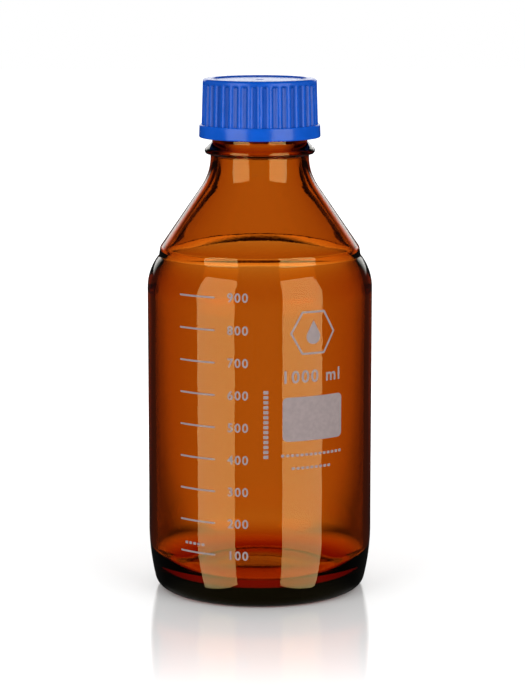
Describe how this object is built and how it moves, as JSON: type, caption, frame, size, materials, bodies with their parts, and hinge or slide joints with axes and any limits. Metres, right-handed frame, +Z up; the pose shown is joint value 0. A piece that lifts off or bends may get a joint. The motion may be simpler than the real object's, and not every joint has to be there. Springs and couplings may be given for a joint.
{
  "type": "reagent bottle",
  "caption": "Round amber glass reagent bottle with a ribbed blue screw cap, a pouring ring and a fired white graduation scale.",
  "frame": {"origin": "centre of the flat ring that the bottle stands on, on the bench", "axes": "+Z up along the bottle's axis; -Y is the printed front, with the scale to the left of it"},
  "size_m": [0.101, 0.1011, 0.2304],
  "materials": {
    "amber_glass": "polished, see-through, brown amber borosilicate",
    "blue_plastic": "moulded polypropylene, satin to gloss",
    "enamel": "fired white enamel print, matt"
  },
  "bodies": {
    "bottle": {"bottle_glass": "amber_glass", "scale_marks": "enamel", "scale_numerals": "enamel", "capacity_mark": "enamel", "marking_field": "enamel", "emblem": "enamel", "dashed_lines": "enamel"},
    "ring": {"pouring_ring": "blue_plastic"},
    "cap": {"screw_cap": "blue_plastic"}
  },
  "joints": [
    {"name": "cap_turn", "type": "hinge", "parent": "bottle", "child": "ring", "pos_m": [0, 0, 0.225], "axis": [0, 0, 1], "range_deg": [0, 3600]},
    {"name": "cap_lift", "type": "slide", "parent": "ring", "child": "cap", "axis": [0, 0, 1], "range_m": [0, 0.0401]}
  ],
  "couplings": [
    {"joint": "cap_lift", "follows": "cap_turn", "m_per_rad": 0.00063662}
  ]
}
